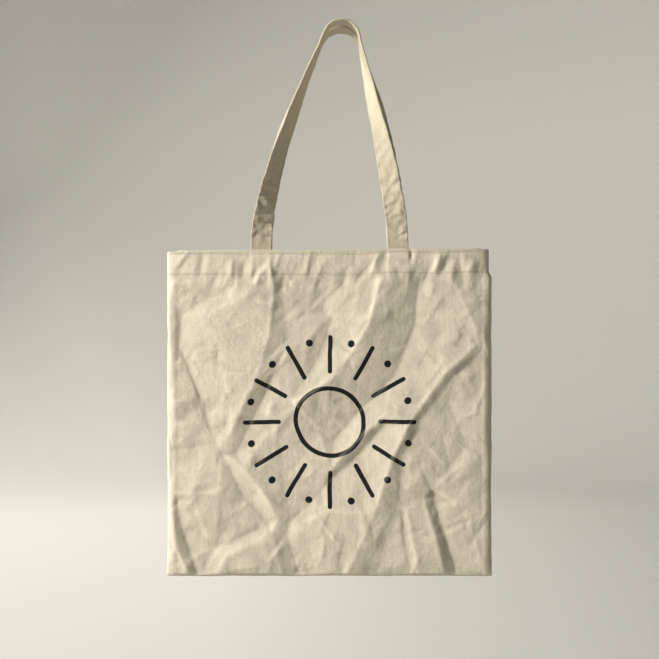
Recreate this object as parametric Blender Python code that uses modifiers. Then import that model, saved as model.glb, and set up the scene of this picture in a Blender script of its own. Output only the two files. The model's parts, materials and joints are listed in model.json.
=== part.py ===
"""Canvas tote bag with two self-fabric handles, hanging empty from a round peg.

Metres, +Z up. The front of the bag faces -Y, and +X is on the right as seen from the front.
The origin is where the handles rest: the top of the peg, midway between the two handles.
Each sewn part is one object. A handle is divided at the hem's folded edge, where it folds over.
"""

import math

import bmesh
import bpy
from mathutils import Vector

# ---- Driving sizes -------------------------------------------------------------------------------
BAG_WIDTH = 0.380  # side seam to side seam
BAG_HEIGHT = 0.383  # top edge to bottom edge
BAG_DEPTH = 0.0158  # outer face to outer face, lying empty
BAG_LEFT_OF_PEG = 0.0134  # how far the bag's middle hangs to the left of the peg

CLOTH = 0.0007  # one layer of canvas
LAYER_GAP = 0.0003  # free space between layers that lie on each other
HEM_HEIGHT = 0.030
SEAM_ALLOWANCE = 0.010  # turned-in edge of each panel at the sides and the bottom
SIDE_ROUNDING = 0.028  # width over which a panel swells out from a seam
FLAP_END_CLEARANCE = 0.004  # the hem's turned-in flap stops this far from the side allowances
CORNER_TRIM = 0.0022  # side and bottom allowances are cut this far clear of each other

STRAP_WIDTH = 0.025
STRAP_THICKNESS = 0.0020  # a canvas strip folded in four and sewn flat
STRAP_SPACING = 0.160  # centre to centre of a handle's two ends
STRAP_END_SHORT = 0.0010  # a handle's sewn end stops this far above the hem's lower edge
HANDLE_DROP = 0.261  # bag's top edge to the underside of the handle on the peg
HANDLE_GAP = 0.0020  # between the two handles on the peg

PEG_RADIUS_FRONT = 0.0200  # the peg under the front handle
PEG_RADIUS_BACK = 0.0225  # it is thicker under the back handle
LEFT_LEAN = math.radians(22)  # slope of a handle's left leg where it meets the peg
RIGHT_LEAN = math.radians(12)
LEFT_TWIST_POWER = 0.85  # how early a leg turns from facing front to lying on the peg
RIGHT_TWIST_POWER = 1.35
RISE_AT_HEM = 0.23  # length of the curve's pull upwards at the hem, as a share of the leg
PULL_AT_PEG = 0.45

THREAD = 0.0004  # thickness of a row of stitches
THREAD_WIDTH = 0.0008
HEM_TOP_ROW = 0.0028  # rows of stitches, below the bag's top edge
HEM_LOWER_ROW = 0.0275
STRAP_ROW_INSET = 0.0025  # rows of stitches, in from the strap's edges
SEAM_ROW_INSET = 0.0025  # the seams' own stitches, in from the bag's edges
OVERLOCK_WIDTH = 0.0010  # binding of thread along the raw edges inside

# ---- Derived places ------------------------------------------------------------------------------
TOP = -HANDLE_DROP
BOTTOM = TOP - BAG_HEIGHT
MIDDLE_X = -BAG_LEFT_OF_PEG
HALF_WIDTH = BAG_WIDTH / 2 - CLOTH / 2  # to the middle of the cloth
LOW = BOTTOM + CLOTH / 2
FACE_Y = BAG_DEPTH / 2 - CLOTH / 2  # a panel's cloth, out from the bag's middle plane
SEAM_Y = (CLOTH + LAYER_GAP) / 2
FLAP_STEP = CLOTH + LAYER_GAP
FLAP_HALF = HALF_WIDTH - SEAM_ALLOWANCE - FLAP_END_CLEARANCE
FLAP_LOW = TOP - HEM_HEIGHT
SIDE_ALLOWANCE_LOW = LOW + SEAM_ALLOWANCE + CORNER_TRIM
HINGE_Y = FACE_Y - FLAP_STEP / 2  # middle of the hem's folded edge, which each handle turns about
HINGE_Z = TOP - CLOTH / 2 - FLAP_STEP / 2
STRAP_Y = FACE_Y - FLAP_STEP - CLOTH / 2 - LAYER_GAP - STRAP_THICKNESS / 2
APEX_Y = (STRAP_WIDTH + HANDLE_GAP) / 2

# ---- Mesh detail ---------------------------------------------------------------------------------
ROUNDING_STEPS = 6
FLAT_STEPS_ACROSS = 8
FLAT_STEPS_DOWN = 7
FOLD_STEPS = 4
LEG_STEPS = 18
ARC_STEPS = 12

FRONT = -1
BACK = 1
LEFT = -1
RIGHT = 1
X_WAYS = Vector((1.0, 0.0, 0.0))
Y_WAYS = Vector((0.0, 1.0, 0.0))
Z_WAYS = Vector((0.0, 0.0, 1.0))

CANVAS_COLOUR = (0.52, 0.47, 0.36, 1.0)
STRAP_COLOUR = (0.56, 0.51, 0.39, 1.0)
THREAD_COLOUR = (0.63, 0.57, 0.44, 1.0)


# ---- Scene, materials and the two ways of making a piece -------------------------------------------
def clear_scene():
    for obj in list(bpy.data.objects):
        bpy.data.objects.remove(obj, do_unlink=True)


def make_material(name, colour, roughness):
    material = bpy.data.materials.new(name)
    material.use_nodes = True
    shader = material.node_tree.nodes["Principled BSDF"]
    shader.inputs["Base Color"].default_value = colour
    shader.inputs["Roughness"].default_value = roughness
    shader.inputs["Metallic"].default_value = 0.0
    return material


def everywhere(_column, _row):
    return True


def make_sheet(name, columns, rows, place, keep, thickness, material):
    """A grid of columns by rows faces whose corners are put in place, thickened evenly to both sides."""
    sheet = bmesh.new()
    bmesh.ops.create_grid(sheet, x_segments=columns, y_segments=rows, size=1.0)
    station = {}
    for vert in sheet.verts:
        station[vert] = (round((vert.co.x + 1) / 2 * columns), round((vert.co.y + 1) / 2 * rows))
    dropped = []
    for face in sheet.faces:
        column = min(station[vert][0] for vert in face.verts)
        row = min(station[vert][1] for vert in face.verts)
        if not keep(column, row):
            dropped.append(face)
    for vert, (column, row) in station.items():
        vert.co = place(column, row)
    bmesh.ops.delete(sheet, geom=dropped, context="FACES")
    mesh = bpy.data.meshes.new(name)
    sheet.to_mesh(mesh)
    sheet.free()
    mesh.shade_smooth()
    mesh.materials.append(make_material(name, *material))
    obj = bpy.data.objects.new(name, mesh)
    solidify = obj.modifiers.new("thickness", "SOLIDIFY")
    solidify.thickness = thickness
    solidify.offset = 0.0
    PARTS.objects.link(obj)
    return obj


def make_ribbon(name, frames, width, thickness, material, aside=0.0, proud=0.0):
    """A flat strip along frames of (middle, across, outward), moved aside across it and proud of it."""

    def place(column, row):
        middle, across, outward = frames[row]
        return middle + across * (aside + (column / 2 - 0.5) * width) + outward * proud

    return make_sheet(name, 2, len(frames) - 1, place, everywhere, thickness, material)


# ---- Panels --------------------------------------------------------------------------------------
def swell_at(inset):
    """Share of the full swell, at a distance in from a seam: a quarter of an ellipse, then flat."""
    return math.sqrt(1 - max(0.0, 1 - inset / SIDE_ROUNDING) ** 2)


def cloth_y(swell):
    """Distance of a panel's cloth from the bag's middle plane."""
    return SEAM_Y + (FACE_Y - SEAM_Y) * swell


def rounding_insets():
    """Distances in from a seam that follow the rounding in even turns."""
    return [SIDE_ROUNDING * (1 - math.cos(math.pi / 2 * i / ROUNDING_STEPS)) for i in range(ROUNDING_STEPS + 1)]


def face_stations():
    """Distances from the bag's middle, left seam to right seam, with the ends of the hem's flap."""
    left = [-HALF_WIDTH + inset for inset in rounding_insets()]
    flat_half = HALF_WIDTH - SIDE_ROUNDING
    flat = [-flat_half + 2 * flat_half * i / FLAT_STEPS_ACROSS for i in range(1, FLAT_STEPS_ACROSS)]
    return sorted(left + flat + [-x for x in left] + [-FLAP_HALF, FLAP_HALF])


def across_stations():
    """(distance from the bag's middle, zone) from one allowance's raw edge to the other's."""
    raw_edge = HALF_WIDTH - SEAM_ALLOWANCE
    face = [(x, "face") for x in face_stations()]
    return [(-raw_edge, "allowance")] + face + [(raw_edge, "allowance")]


def down_stations():
    """(height, inset, zone) from the flap's lower edge, over the fold and down to the bottom's raw edge."""
    fold = FLAP_STEP / 2
    stations = [(FLAP_LOW, FLAP_STEP, "flap")]
    for step in range(FOLD_STEPS):
        angle = math.pi * step / FOLD_STEPS
        stations.append((HINGE_Z + fold * math.sin(angle), fold * (1 + math.cos(angle)), "flap"))
    stations.append((HINGE_Z, 0.0, "face"))
    flat_low = LOW + SIDE_ROUNDING
    for step in range(FLAT_STEPS_DOWN):
        stations.append((FLAP_LOW + (flat_low - FLAP_LOW) * step / FLAT_STEPS_DOWN, 0.0, "face"))
    stations += [(LOW + inset, 0.0, "face") for inset in reversed(rounding_insets())]
    stations.append((LOW + SEAM_ALLOWANCE, 0.0, "allowance"))
    return stations


def make_panel(name, side):
    """A panel with its turned-in hem and its side and bottom allowances, all one piece of cloth."""
    across = across_stations()
    down = down_stations()

    def place(column, row):
        x, zone_across = across[column]
        z, inset, zone_down = down[row]
        swell = 0.0 if zone_across == "allowance" else swell_at(HALF_WIDTH - abs(x))
        if zone_down == "allowance":
            swell = 0.0
        if zone_down == "face":
            swell *= swell_at(z - LOW)
        return Vector((MIDDLE_X + x, side * (cloth_y(swell) - inset), z))

    def keep(column, row):
        zones_across = {across[column][1], across[column + 1][1]}
        zones_down = {down[row][2], down[row + 1][2]}
        reach = max(abs(across[column][0]), abs(across[column + 1][0]))
        within_flap = "allowance" not in zones_across and reach <= FLAP_HALF
        if "flap" in zones_down or "allowance" in zones_down:
            return within_flap
        return "allowance" not in zones_across or min(down[row][0], down[row + 1][0]) >= SIDE_ALLOWANCE_LOW

    return make_sheet(name, len(across) - 1, len(down) - 1, place, keep, CLOTH, (CANVAS_COLOUR, 0.9))


# ---- Handles -------------------------------------------------------------------------------------
def bezier(points, t):
    a, b, c, d = points
    u = 1 - t
    return a * u**3 + b * 3 * u * u * t + c * 3 * u * t * t + d * t**3


def leg_points(side_x, peg_radius, lean):
    """A leg's middle line, from the hem to where it meets the peg."""
    radius = peg_radius + STRAP_THICKNESS / 2
    start = Vector((MIDDLE_X + side_x * STRAP_SPACING / 2, 0.0, HINGE_Z))
    end = Vector((side_x * radius * math.cos(lean), 0.0, radius * math.sin(lean) - peg_radius))
    onwards = Vector((-side_x * math.sin(lean), 0.0, math.cos(lean)))
    length = (end - start).length
    control = (start, start + Z_WAYS * RISE_AT_HEM * length, end - onwards * PULL_AT_PEG * length, end)
    return [bezier(control, step / LEG_STEPS) for step in range(LEG_STEPS + 1)]


def handle_line(peg_radius):
    """(point, twist) along a handle from left to right. Twist is 0 facing front and pi/2 on the peg."""
    radius = peg_radius + STRAP_THICKNESS / 2

    def twist(step, power):
        return math.pi / 2 * (step / LEG_STEPS) ** power

    left = [(p, twist(i, LEFT_TWIST_POWER)) for i, p in enumerate(leg_points(LEFT, peg_radius, LEFT_LEAN))]
    right = [(p, twist(i, RIGHT_TWIST_POWER)) for i, p in enumerate(leg_points(RIGHT, peg_radius, RIGHT_LEAN))]
    arc = []
    for step in range(1, ARC_STEPS):
        angle = math.pi - LEFT_LEAN + (RIGHT_LEAN + LEFT_LEAN - math.pi) * step / ARC_STEPS
        point = Vector((radius * math.cos(angle), 0.0, radius * math.sin(angle) - peg_radius))
        arc.append((point, math.pi / 2))
    return left + arc + right[::-1]


def handle_frames(peg_radius, side):
    """(middle, across, inward) along a handle. across runs from its outer edge to its inner one, and
    inward is the way its inner face looks: out of the bag's front or back on the legs, at the peg on top."""
    line = handle_line(peg_radius)
    frames = []
    for index, (point, twist) in enumerate(line):
        along = line[min(index + 1, len(line) - 1)][0] - line[max(index - 1, 0)][0]
        if index in (0, len(line) - 1):
            along.x = 0.0
        along.normalize()
        into_loop = Vector((along.z, 0.0, -along.x))
        across = into_loop * math.cos(twist) - Y_WAYS * side * math.sin(twist)
        middle = point + Y_WAYS * side * (STRAP_Y + (APEX_Y - STRAP_Y) * math.sin(twist))
        frames.append((middle, across, across.cross(along) * -side))
    return frames


def make_handle(word, side, peg_radius):
    """A handle's loop and its two rows of stitches, which stop clear of the fold line they turn about."""
    frames = handle_frames(peg_radius, side)
    loop = make_ribbon(word + "_handle", frames, STRAP_WIDTH, STRAP_THICKNESS, (STRAP_COLOUR, 0.9))
    pieces = [loop]
    for edge, sign in (("outer", -1), ("inner", 1)):
        row = make_ribbon(
            f"{word}_handle_{edge}_stitches",
            frames[1:-1],
            THREAD_WIDTH,
            THREAD,
            (THREAD_COLOUR, 0.7),
            aside=sign * (STRAP_WIDTH / 2 - STRAP_ROW_INSET),
            proud=STRAP_THICKNESS / 2 + LAYER_GAP + THREAD / 2,
        )
        pieces.append(row)
    fold_line = bpy.data.objects.new(word + "_handle_fold_line", None)
    fold_line.location = (MIDDLE_X, side * HINGE_Y, HINGE_Z)
    PARTS.objects.link(fold_line)
    for piece in pieces:
        piece.parent = fold_line
        piece.location = -fold_line.location


def make_handle_end(word, hand, side, side_x):
    """The length of a handle that lies inside the hem, sewn down by both of the hem's rows."""
    x = MIDDLE_X + side_x * STRAP_SPACING / 2
    low = FLAP_LOW + STRAP_END_SHORT
    high = HINGE_Z - LAYER_GAP
    heights = (low, (low + high) / 2, high)
    frames = [(Vector((x, side * STRAP_Y, z)), X_WAYS, Y_WAYS) for z in heights]
    name = f"{word}_handle_{hand}_end"
    make_ribbon(name, frames, STRAP_WIDTH, STRAP_THICKNESS, (STRAP_COLOUR, 0.9))


# ---- Thread --------------------------------------------------------------------------------------
def make_hem_stitches(name, side, z):
    """A row of stitches along the outside of the hem, following the panel's swell."""
    stations = [x for x in face_stations() if abs(x) <= FLAP_HALF]
    outline = [Vector((MIDDLE_X + x, side * cloth_y(swell_at(HALF_WIDTH - abs(x))), z)) for x in stations]
    frames = []
    for index, point in enumerate(outline):
        along = outline[min(index + 1, len(outline) - 1)] - outline[max(index - 1, 0)]
        outward = Vector((-side * along.y, side * along.x, 0.0)).normalized()
        frames.append((point, Z_WAYS, outward))
    proud = CLOTH / 2 + LAYER_GAP + THREAD / 2
    make_ribbon(name, frames, THREAD_WIDTH, THREAD, (THREAD_COLOUR, 0.7), proud=proud)


def make_seam_thread(name, start, end, into_bag):
    """A seam's stitches through both allowances, and the overlock that binds their raw edges."""
    steps = 8
    across = into_bag
    frames = [(start.lerp(end, i / steps), across, Y_WAYS) for i in range(steps + 1)]
    above = SEAM_Y + CLOTH / 2 + LAYER_GAP + THREAD / 2
    material = (THREAD_COLOUR, 0.7)
    make_ribbon(name + "_stitches", frames, THREAD_WIDTH, THREAD, material, aside=SEAM_ROW_INSET, proud=above)
    edge = SEAM_ALLOWANCE + LAYER_GAP + OVERLOCK_WIDTH / 2
    both_layers = 2 * SEAM_Y + CLOTH
    make_ribbon(name + "_overlock", frames, OVERLOCK_WIDTH, both_layers, material, aside=edge)


def make_bag():
    for word, side, peg_radius in (("front", FRONT, PEG_RADIUS_FRONT), ("back", BACK, PEG_RADIUS_BACK)):
        make_panel(word + "_panel", side)
        make_hem_stitches(word + "_hem_upper_stitches", side, TOP - HEM_TOP_ROW)
        make_hem_stitches(word + "_hem_lower_stitches", side, TOP - HEM_LOWER_ROW)
        make_handle(word, side, peg_radius)
        for hand, side_x in (("left", LEFT), ("right", RIGHT)):
            make_handle_end(word, hand, side, side_x)
    for hand, side_x in (("left", LEFT), ("right", RIGHT)):
        x = MIDDLE_X + side_x * HALF_WIDTH
        low = Vector((x, 0.0, SIDE_ALLOWANCE_LOW))
        high = Vector((x, 0.0, HINGE_Z))
        make_seam_thread(hand + "_seam", low, high, X_WAYS * -side_x)
    left = Vector((MIDDLE_X - FLAP_HALF, 0.0, LOW))
    right = Vector((MIDDLE_X + FLAP_HALF, 0.0, LOW))
    make_seam_thread("bottom_seam", left, right, Z_WAYS)


clear_scene()
PARTS = bpy.data.collections.new("canvas_tote_bag")
bpy.context.scene.collection.children.link(PARTS)
make_bag()
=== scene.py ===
"""Canvas tote bag hanging empty by both handles: its crumpled cloth, straps, stitching and print.

Metres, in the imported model's frame: +Z up, the front of the bag faces -Y, origin under the handles.
Cloth is laid out flat first, as (s, t): s across from the bag's middle, t down from its top edge.
"""

import json
import math

import bmesh
import bpy
import numpy as np
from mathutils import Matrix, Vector, geometry, noise
from mathutils.bvhtree import BVHTree


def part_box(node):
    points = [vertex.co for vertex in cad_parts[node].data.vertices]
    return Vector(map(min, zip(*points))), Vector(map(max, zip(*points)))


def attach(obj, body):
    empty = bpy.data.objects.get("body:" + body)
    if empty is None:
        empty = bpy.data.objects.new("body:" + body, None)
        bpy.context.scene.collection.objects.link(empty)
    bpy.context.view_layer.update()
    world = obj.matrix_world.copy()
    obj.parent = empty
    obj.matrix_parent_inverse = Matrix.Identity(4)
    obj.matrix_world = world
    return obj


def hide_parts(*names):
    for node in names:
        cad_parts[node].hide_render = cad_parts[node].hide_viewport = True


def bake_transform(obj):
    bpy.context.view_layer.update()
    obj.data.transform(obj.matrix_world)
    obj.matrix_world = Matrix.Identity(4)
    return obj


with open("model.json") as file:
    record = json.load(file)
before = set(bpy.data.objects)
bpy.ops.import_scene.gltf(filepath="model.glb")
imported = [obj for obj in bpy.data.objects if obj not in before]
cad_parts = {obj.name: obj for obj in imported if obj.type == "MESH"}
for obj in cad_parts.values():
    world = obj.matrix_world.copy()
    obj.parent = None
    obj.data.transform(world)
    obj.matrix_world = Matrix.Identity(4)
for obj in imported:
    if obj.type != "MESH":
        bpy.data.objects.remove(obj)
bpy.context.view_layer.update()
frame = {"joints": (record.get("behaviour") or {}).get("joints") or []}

MM = 0.001
TURN = 2 * math.pi
FRONT = -1
BACK = 1

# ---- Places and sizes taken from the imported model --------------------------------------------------
panel_low, panel_high = (Vector(corner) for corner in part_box("front_panel"))
end_low, end_high = (Vector(corner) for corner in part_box("front_handle_right_end"))
loop_low, loop_high = (Vector(corner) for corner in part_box("front_handle"))
hinge = Vector(next(j for j in frame["joints"] if j["name"] == "front_handle_fold")["pos_m"])

MIDDLE_X = (panel_low.x + panel_high.x) / 2
TOP = panel_high.z
WIDTH = panel_high.x - panel_low.x
HEIGHT = TOP - panel_low.z
FACE_Y = -panel_low.y
HINGE_Z = hinge.z
STRAP_WIDTH = end_high.x - end_low.x
STRAP_THICKNESS = end_high.y - end_low.y
STRAP_AT = (end_low.x + end_high.x) / 2 - MIDDLE_X
STRAP_Y = -(end_low.y + end_high.y) / 2
STRAP_END_Z = end_low.z
APEX_Y = -(loop_low.y + loop_high.y) / 2

# ---- The cloth ---------------------------------------------------------------------------------
CLOTH = 0.0007
HEM = 0.030
ALLOWANCE = 0.010
FLAP_STEP = 0.0010
UPPER_ROW = 0.0028
LOWER_ROW = 0.0270
PITCH = 0.0019  # of the cloth's grid
NOTCH = 0.0034  # how far the hem's right end is drawn in
MOUTH_TILT = 0.0016  # the right end of the mouth is level with TOP, and the left end twice this below
SEED = 11
# Smaller folds: (spacing, height, softness in cells of the grid).
FINE_FOLDS = ((0.030, 0.00075, 0.7), (0.016, 0.00038, 0.6), (0.0085, 0.00018, 0.5))
SHARP_CREASES = 260
FOLD_HEIGHT = 1.6  # of the listed folds
# How far the face is raised over what lies behind it, and how deep a row of stitches pulls it in.
OVER_STRAP = 0.0011
OVER_FLAP = 0.00050
OVER_SIDE_ALLOWANCE = 0.00060
OVER_BOTTOM_ALLOWANCE = 0.00035
STITCH_GROOVE = 0.00045
EDGE_TURN = 0.0006  # room that the folded side and bottom edges take up
MOUTH_TURN = 0.0008  # the same at the mouth's folded edge
ALLOWANCE_PITCH = 0.003
CLEAR = 0.00005  # between two layers that face each other


# ---- Numbers: noise, smoothing, folded surfaces ------------------------------------------------
def smooth(x, low, high):
    t = np.clip((x - low) / (high - low), 0.0, 1.0)
    return t * t * (3 - 2 * t)


def waver(places, rate, y, z):
    """Noise along a line of places: slow where rate is low."""
    return np.array([noise.noise(Vector((float(place) * rate, y, z))) for place in places])


def blur(field, sigma):
    """Gaussian smoothing of a 2D array, sigma in cells, with its edges held."""
    reach = max(1, int(3 * sigma))
    kernel = np.exp(-0.5 * (np.arange(-reach, reach + 1) / sigma) ** 2)
    kernel /= kernel.sum()
    for axis in (0, 1):
        padded = np.pad(field, [(reach, reach) if a == axis else (0, 0) for a in (0, 1)], mode="edge")
        field = sum(
            weight * np.take(padded, range(i, i + field.shape[axis]), axis=axis)
            for i, weight in enumerate(kernel)
        )
    return field


def folded_surface(points, heights, edges, s, t):
    """Heights at (s, t) of the flat facets between points, which meet in sharp folds along their edges."""
    flat = [Vector((x, y)) for x, y in points]
    corners, _, faces, origins, _, _ = geometry.delaunay_2d_cdt(flat, edges, [], 0, 1e-6)
    lifted = []
    for corner, origin in zip(corners, origins):
        if origin:
            height = heights[origin[0]]
        else:
            near = sorted(range(len(flat)), key=lambda i: (flat[i] - corner).length)[:2]
            height = (heights[near[0]] + heights[near[1]]) / 2
        lifted.append(Vector((corner.x, corner.y, height)))
    tree = BVHTree.FromPolygons(lifted, faces)
    result = np.zeros(s.shape)
    down = Vector((0, 0, -1))
    for index in np.ndindex(s.shape):
        hit = tree.ray_cast(Vector((s[index], t[index], 1.0)), down)[0]
        result[index] = hit.z if hit else 0.0
    return result


def scattered_points(rng, half_width, top, bottom, spacing):
    """One point in each cell of a grid, moved about within its cell."""
    points = []
    rows = np.arange(top - spacing, bottom + spacing, spacing)
    columns = np.arange(-half_width - spacing, half_width + spacing, spacing)
    for row in rows:
        for column in columns:
            shift = rng.uniform(-0.42, 0.42, 2)
            points.append((column + shift[0] * spacing, row + shift[1] * spacing))
    return points


# ---- Creases of the two panels -----------------------------------------------------------------
# Each fold is a line of (across, down, height) in millimetres, across and down from the top edge's
# middle. The panel is flat between folds, so a line higher than its neighbours is a ridge.
FRONT_FOLDS = (
    # Pulled down and leftwards from beside the left handle.
    ((-65, 40, 2.5), (-70, 100, 2.5), (-90, 160, 2.5), (-125, 230, 0.5)),
    ((-55, 40, 0.0), (-50, 110, 0.0), (-75, 170, -1.5), (-110, 240, -2.0)),
    # The broad pull from the right handle's foot to the middle, and the hollows on both sides of it.
    ((60, 35, 4.0), (45, 90, 4.5), (10, 145, 4.0), (-40, 180, 3.0)),
    ((50, 35, 0.5), (5, 75, -1.0), (-10, 125, -1.0), (-45, 175, 0.5)),
    ((105, 35, -1.5), (100, 90, -2.0), (75, 150, -1.5), (35, 190, -3.0), (5, 225, -3.0)),
    # The long fold from the right side down to the bottom edge.
    ((180, 105, 2.0), (135, 145, 3.0), (95, 200, 3.0), (75, 240, 4.0), (55, 300, 3.5), (20, 380, 2.5)),
    ((180, 115, 1.0), (140, 155, 0.0), (110, 195, 0.5), (90, 230, 1.0)),
    ((85, 240, 1.5), (80, 300, 0.5), (55, 380, -0.5)),
    ((65, 205, -0.5), (35, 240, -2.5), (-10, 280, -1.5)),
    ((65, 195, 1.5), (30, 225, 1.0), (0, 260, 0.0)),
    # The left facet's edge, and the ripples between it and the side.
    ((-175, 70, -1.5), (-175, 115, -1.5), (-150, 180, -2.5), (-135, 225, -1.0)),
    ((-185, 110, 0.0), (-185, 165, 1.0), (-185, 220, 0.5)),
    ((-180, 180, 1.5), (-155, 170, -1.0)),
    ((-180, 205, 1.0), (-145, 205, -1.0)),
    ((-185, 235, -1.5), (-160, 232, -2.0), (-135, 225, -1.0)),
    # Folds that run together low on the left.
    ((-125, 240, -0.5), (-100, 290, -1.5), (-70, 320, -1.5)),
    ((-100, 255, 1.0), (-70, 295, 1.5), (-60, 315, 0.0)),
    ((-180, 285, 1.0), (-130, 285, 1.5)),
    ((-10, 285, -1.5), (-45, 318, -2.0)),
    ((-40, 325, 0.0), (0, 305, 1.5), (45, 308, 3.5)),
    ((-60, 200, -1.0), (-55, 270, -1.0)),
    ((-40, 185, 1.0), (-10, 215, -2.0), (0, 225, -2.5)),
    # The bottom edge, from the left corner to the right one.
    ((-185, 300, 1.0), (-180, 345, 1.5), (-165, 380, 1.5)),
    ((-180, 295, -0.5), (-170, 335, -2.0), (-155, 380, -1.5)),
    ((-150, 380, -1.5), (-135, 350, -1.5), (-80, 328, -1.5)),
    ((-130, 380, 1.5), (-120, 358, 2.0), (-70, 335, 1.0)),
    ((-65, 340, 1.5), (-55, 380, 1.5)),
    ((-50, 335, -1.0), (-35, 380, -1.5)),
    ((-10, 330, 1.0), (5, 355, 1.5)),
    ((85, 310, 0.0), (95, 380, -1.0)),
    ((90, 305, 1.5), (105, 380, 1.5)),
    ((110, 290, 1.5), (125, 340, 2.0), (135, 380, 1.5)),
    ((120, 285, -1.0), (135, 335, -2.5), (150, 380, -2.0)),
    ((160, 305, 1.0), (180, 375, 1.0)),
    # Beside the long fold on the right, and under the hem.
    ((140, 180, -1.0), (160, 230, -1.5)),
    ((180, 140, 1.5), (180, 240, 0.5)),
    ((165, 245, 1.5), (120, 280, 1.0)),
    ((145, 35, 1.0), (160, 70, 1.5), (175, 105, 2.0)),
    ((-175, 75, -1.5), (-110, 40, -0.5)),
    ((-140, 75, 1.0), (-90, 50, 2.0)),
    ((-180, 40, 1.5), (-145, 33, 1.0)),
)
BACK_FOLDS = (
    ((-150, 40, 1.5), (-128, 70, 2.6), (-96, 92, 3.4), (-52, 100, 3.0), (-20, 118, 2.2), (6, 150, 1.0)),
    ((-170, 96, -1.4), (-140, 112, -2.2), (-104, 118, -1.8), (-66, 132, -1.6), (-30, 160, -2.4)),
    ((-120, 214, -2.0), (-88, 196, -2.8), (-46, 190, -2.6), (-6, 204, -3.0), (34, 236, -2.2)),
    ((-104, 236, 1.4), (-60, 222, 2.4), (-22, 232, 2.6), (16, 262, 2.4), (40, 300, 1.6)),
    ((66, 38, 3.4), (84, 74, 3.8), (104, 110, 3.4), (112, 150, 3.0), (106, 190, 2.6), (120, 232, 1.8)),
    ((44, 44, -0.6), (58, 84, -1.8), (74, 126, -2.2), (84, 168, -2.0), (72, 206, -2.8)),
    ((140, 60, -1.6), (146, 110, -2.2), (140, 156, -1.8), (152, 200, -2.4), (170, 236, -1.2)),
    ((-70, 38, 3.0), (-64, 62, 2.6), (-74, 84, 1.6)),
    ((-92, 36, -1.0), (-100, 62, -1.8), (-112, 84, -1.6)),
    ((-176, 150, 1.6), (-150, 164, 2.4), (-136, 196, 2.6), (-146, 232, 2.0), (-132, 268, 1.2)),
    ((-60, 262, -1.8), (-40, 300, -2.6), (-52, 340, -2.4), (-44, 380, -1.8)),
    ((-84, 300, 1.8), (-78, 340, 2.4), (-86, 380, 2.0)),
    ((62, 270, 1.0), (82, 306, 2.6), (92, 344, 3.0), (86, 380, 2.4)),
    ((34, 318, -1.6), (52, 346, -2.2), (60, 380, -1.8)),
    ((170, 262, -1.2), (142, 284, -2.4), (132, 316, -2.6), (148, 352, -1.8), (160, 381, -1.2)),
    ((-172, 300, -1.0), (-140, 318, -2.2), (-120, 346, -2.0), (-128, 381, -1.4)),
    ((12, 60, 1.0), (20, 92, 0.4), (14, 130, 1.2)),
)


def fold_points(folds):
    """Corner points, heights and edges of the listed folds, inside a frame that lies flat."""
    half = WIDTH / 2
    points, heights, edges = [], [], []
    for line in folds:
        for index, (across, down, height) in enumerate(line):
            points.append((across * MM, down * MM))
            heights.append(height * MM * FOLD_HEIGHT)
            if index:
                edges.append((len(points) - 2, len(points) - 1))
    for share in (-1.0, -0.6, -0.2, 0.2, 0.6, 1.0):
        points += [(share * half, -0.002), (share * half, HEIGHT + 0.006)]
        heights += [0.0, 0.0]
    for down in (0.06, 0.14, 0.20, 0.27, 0.33):
        points += [(-half - 0.002, down), (half + 0.002, down)]
        heights += [0.0, 0.0]
    return points, heights, edges


def crease_lines(s, t, lines):
    """Short hard creases, steep on one side and gentle on the other, each fading out at both ends."""
    total = np.zeros(s.shape)
    for across, down, angle, length, height, steep, gentle, bend in lines:
        along = (s - across) * math.cos(angle) + (t - down) * math.sin(angle)
        off = (t - down) * math.cos(angle) - (s - across) * math.sin(angle) + bend * along**2
        taper = np.clip(1 - (2 * along / length) ** 2, 0, 1)
        total += height * taper * np.exp(-np.abs(off) / np.where(off > 0, steep, gentle))
    return total


def grip_creases(rng):
    """Creases that a hand's grip leaves all over a panel, most of them running up to the right."""
    lines = []
    for _ in range(SHARP_CREASES):
        across, down = rng.uniform(-WIDTH / 2, WIDTH / 2), rng.uniform(0.02, HEIGHT)
        angle = math.radians(rng.normal(-52, 20) if rng.random() < 0.6 else rng.uniform(0, 180))
        height = rng.choice((-1, 1)) * rng.uniform(0.25, 1.60) * MM
        steep, gentle = rng.uniform(0.0013, 0.0028), rng.uniform(0.0045, 0.0120)
        length, bend = rng.uniform(0.014, 0.060), rng.normal(0, 2.5)
        lines.append((across, down, angle, length, height, steep, gentle, bend))
    return lines


def hem_puckers(rng):
    """Upright ripples that the hem's stitching draws up, strongest beside the handles."""
    lines = []
    for across in np.arange(-WIDTH / 2, WIDTH / 2, 0.0052):
        beside = math.exp(-(((abs(across) - STRAP_AT) / 0.034) ** 2))
        lean = rng.normal(0.32, 0.22)
        height = rng.normal(0.0, 0.00150) * (0.85 + 0.8 * beside)
        down, length = rng.uniform(0.007, 0.034), rng.uniform(0.018, 0.050)
        steep, gentle = rng.uniform(0.0014, 0.0028), rng.uniform(0.0030, 0.0060)
        place = across + rng.uniform(-0.0025, 0.0025)
        lines.append((place, down, math.atan2(-1.0, lean), length, height, steep, gentle, 0.0))
    return lines


def fold_lips(s, t, folds):
    """The hard line along each listed fold, standing out of a ridge and sunk in a valley."""
    total = np.zeros(s.shape)
    for line in folds:
        for a, b in zip(line, line[1:]):
            span = np.array([b[0] - a[0], b[1] - a[1]]) * MM
            share = ((s - a[0] * MM) * span[0] + (t - a[1] * MM) * span[1]) / (span @ span)
            share = np.clip(share, 0, 1)
            off = np.hypot(s - a[0] * MM - share * span[0], t - a[1] * MM - share * span[1])
            height = (a[2] + (b[2] - a[2]) * share) * MM
            lip = np.clip(height, -0.0030, 0.0030) * 0.24 * np.exp(-off / 0.0024)
            total = np.where(np.abs(lip) > np.abs(total), lip, total)
    return total


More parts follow.
